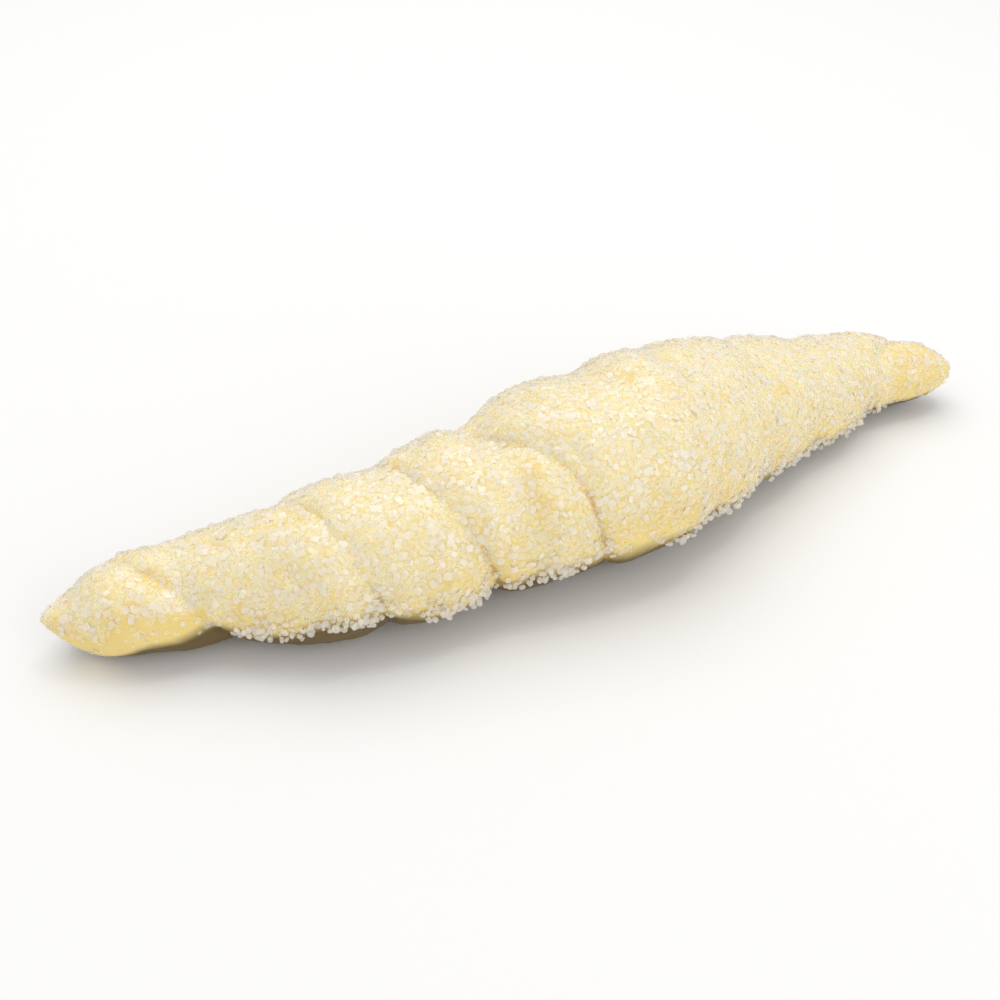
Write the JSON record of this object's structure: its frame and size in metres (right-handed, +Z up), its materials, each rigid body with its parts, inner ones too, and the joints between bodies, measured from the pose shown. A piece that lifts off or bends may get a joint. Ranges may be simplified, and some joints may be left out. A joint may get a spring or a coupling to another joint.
{
  "type": "sugared pastry roll",
  "caption": "Spindle-shaped rolled pastry horn, closed at both ends, of pale dough coated in coarse sugar crystals, lying on its side.",
  "frame": {"origin": "middle of the roll's box, on the surface that it lies on", "axes": "+X along the roll from its thicker, blunter near tip to its slimmer far tip, +Z up, and -Y towards the side where the roll bows out"},
  "size_m": [0.14, 0.0355, 0.0249],
  "materials": {
    "sugared_dough": "pale cream dough under coarse, milky, half-clear sugar crystals"
  },
  "bodies": {
    "root": {"pastry": "sugared_dough"}
  },
  "joints": []
}
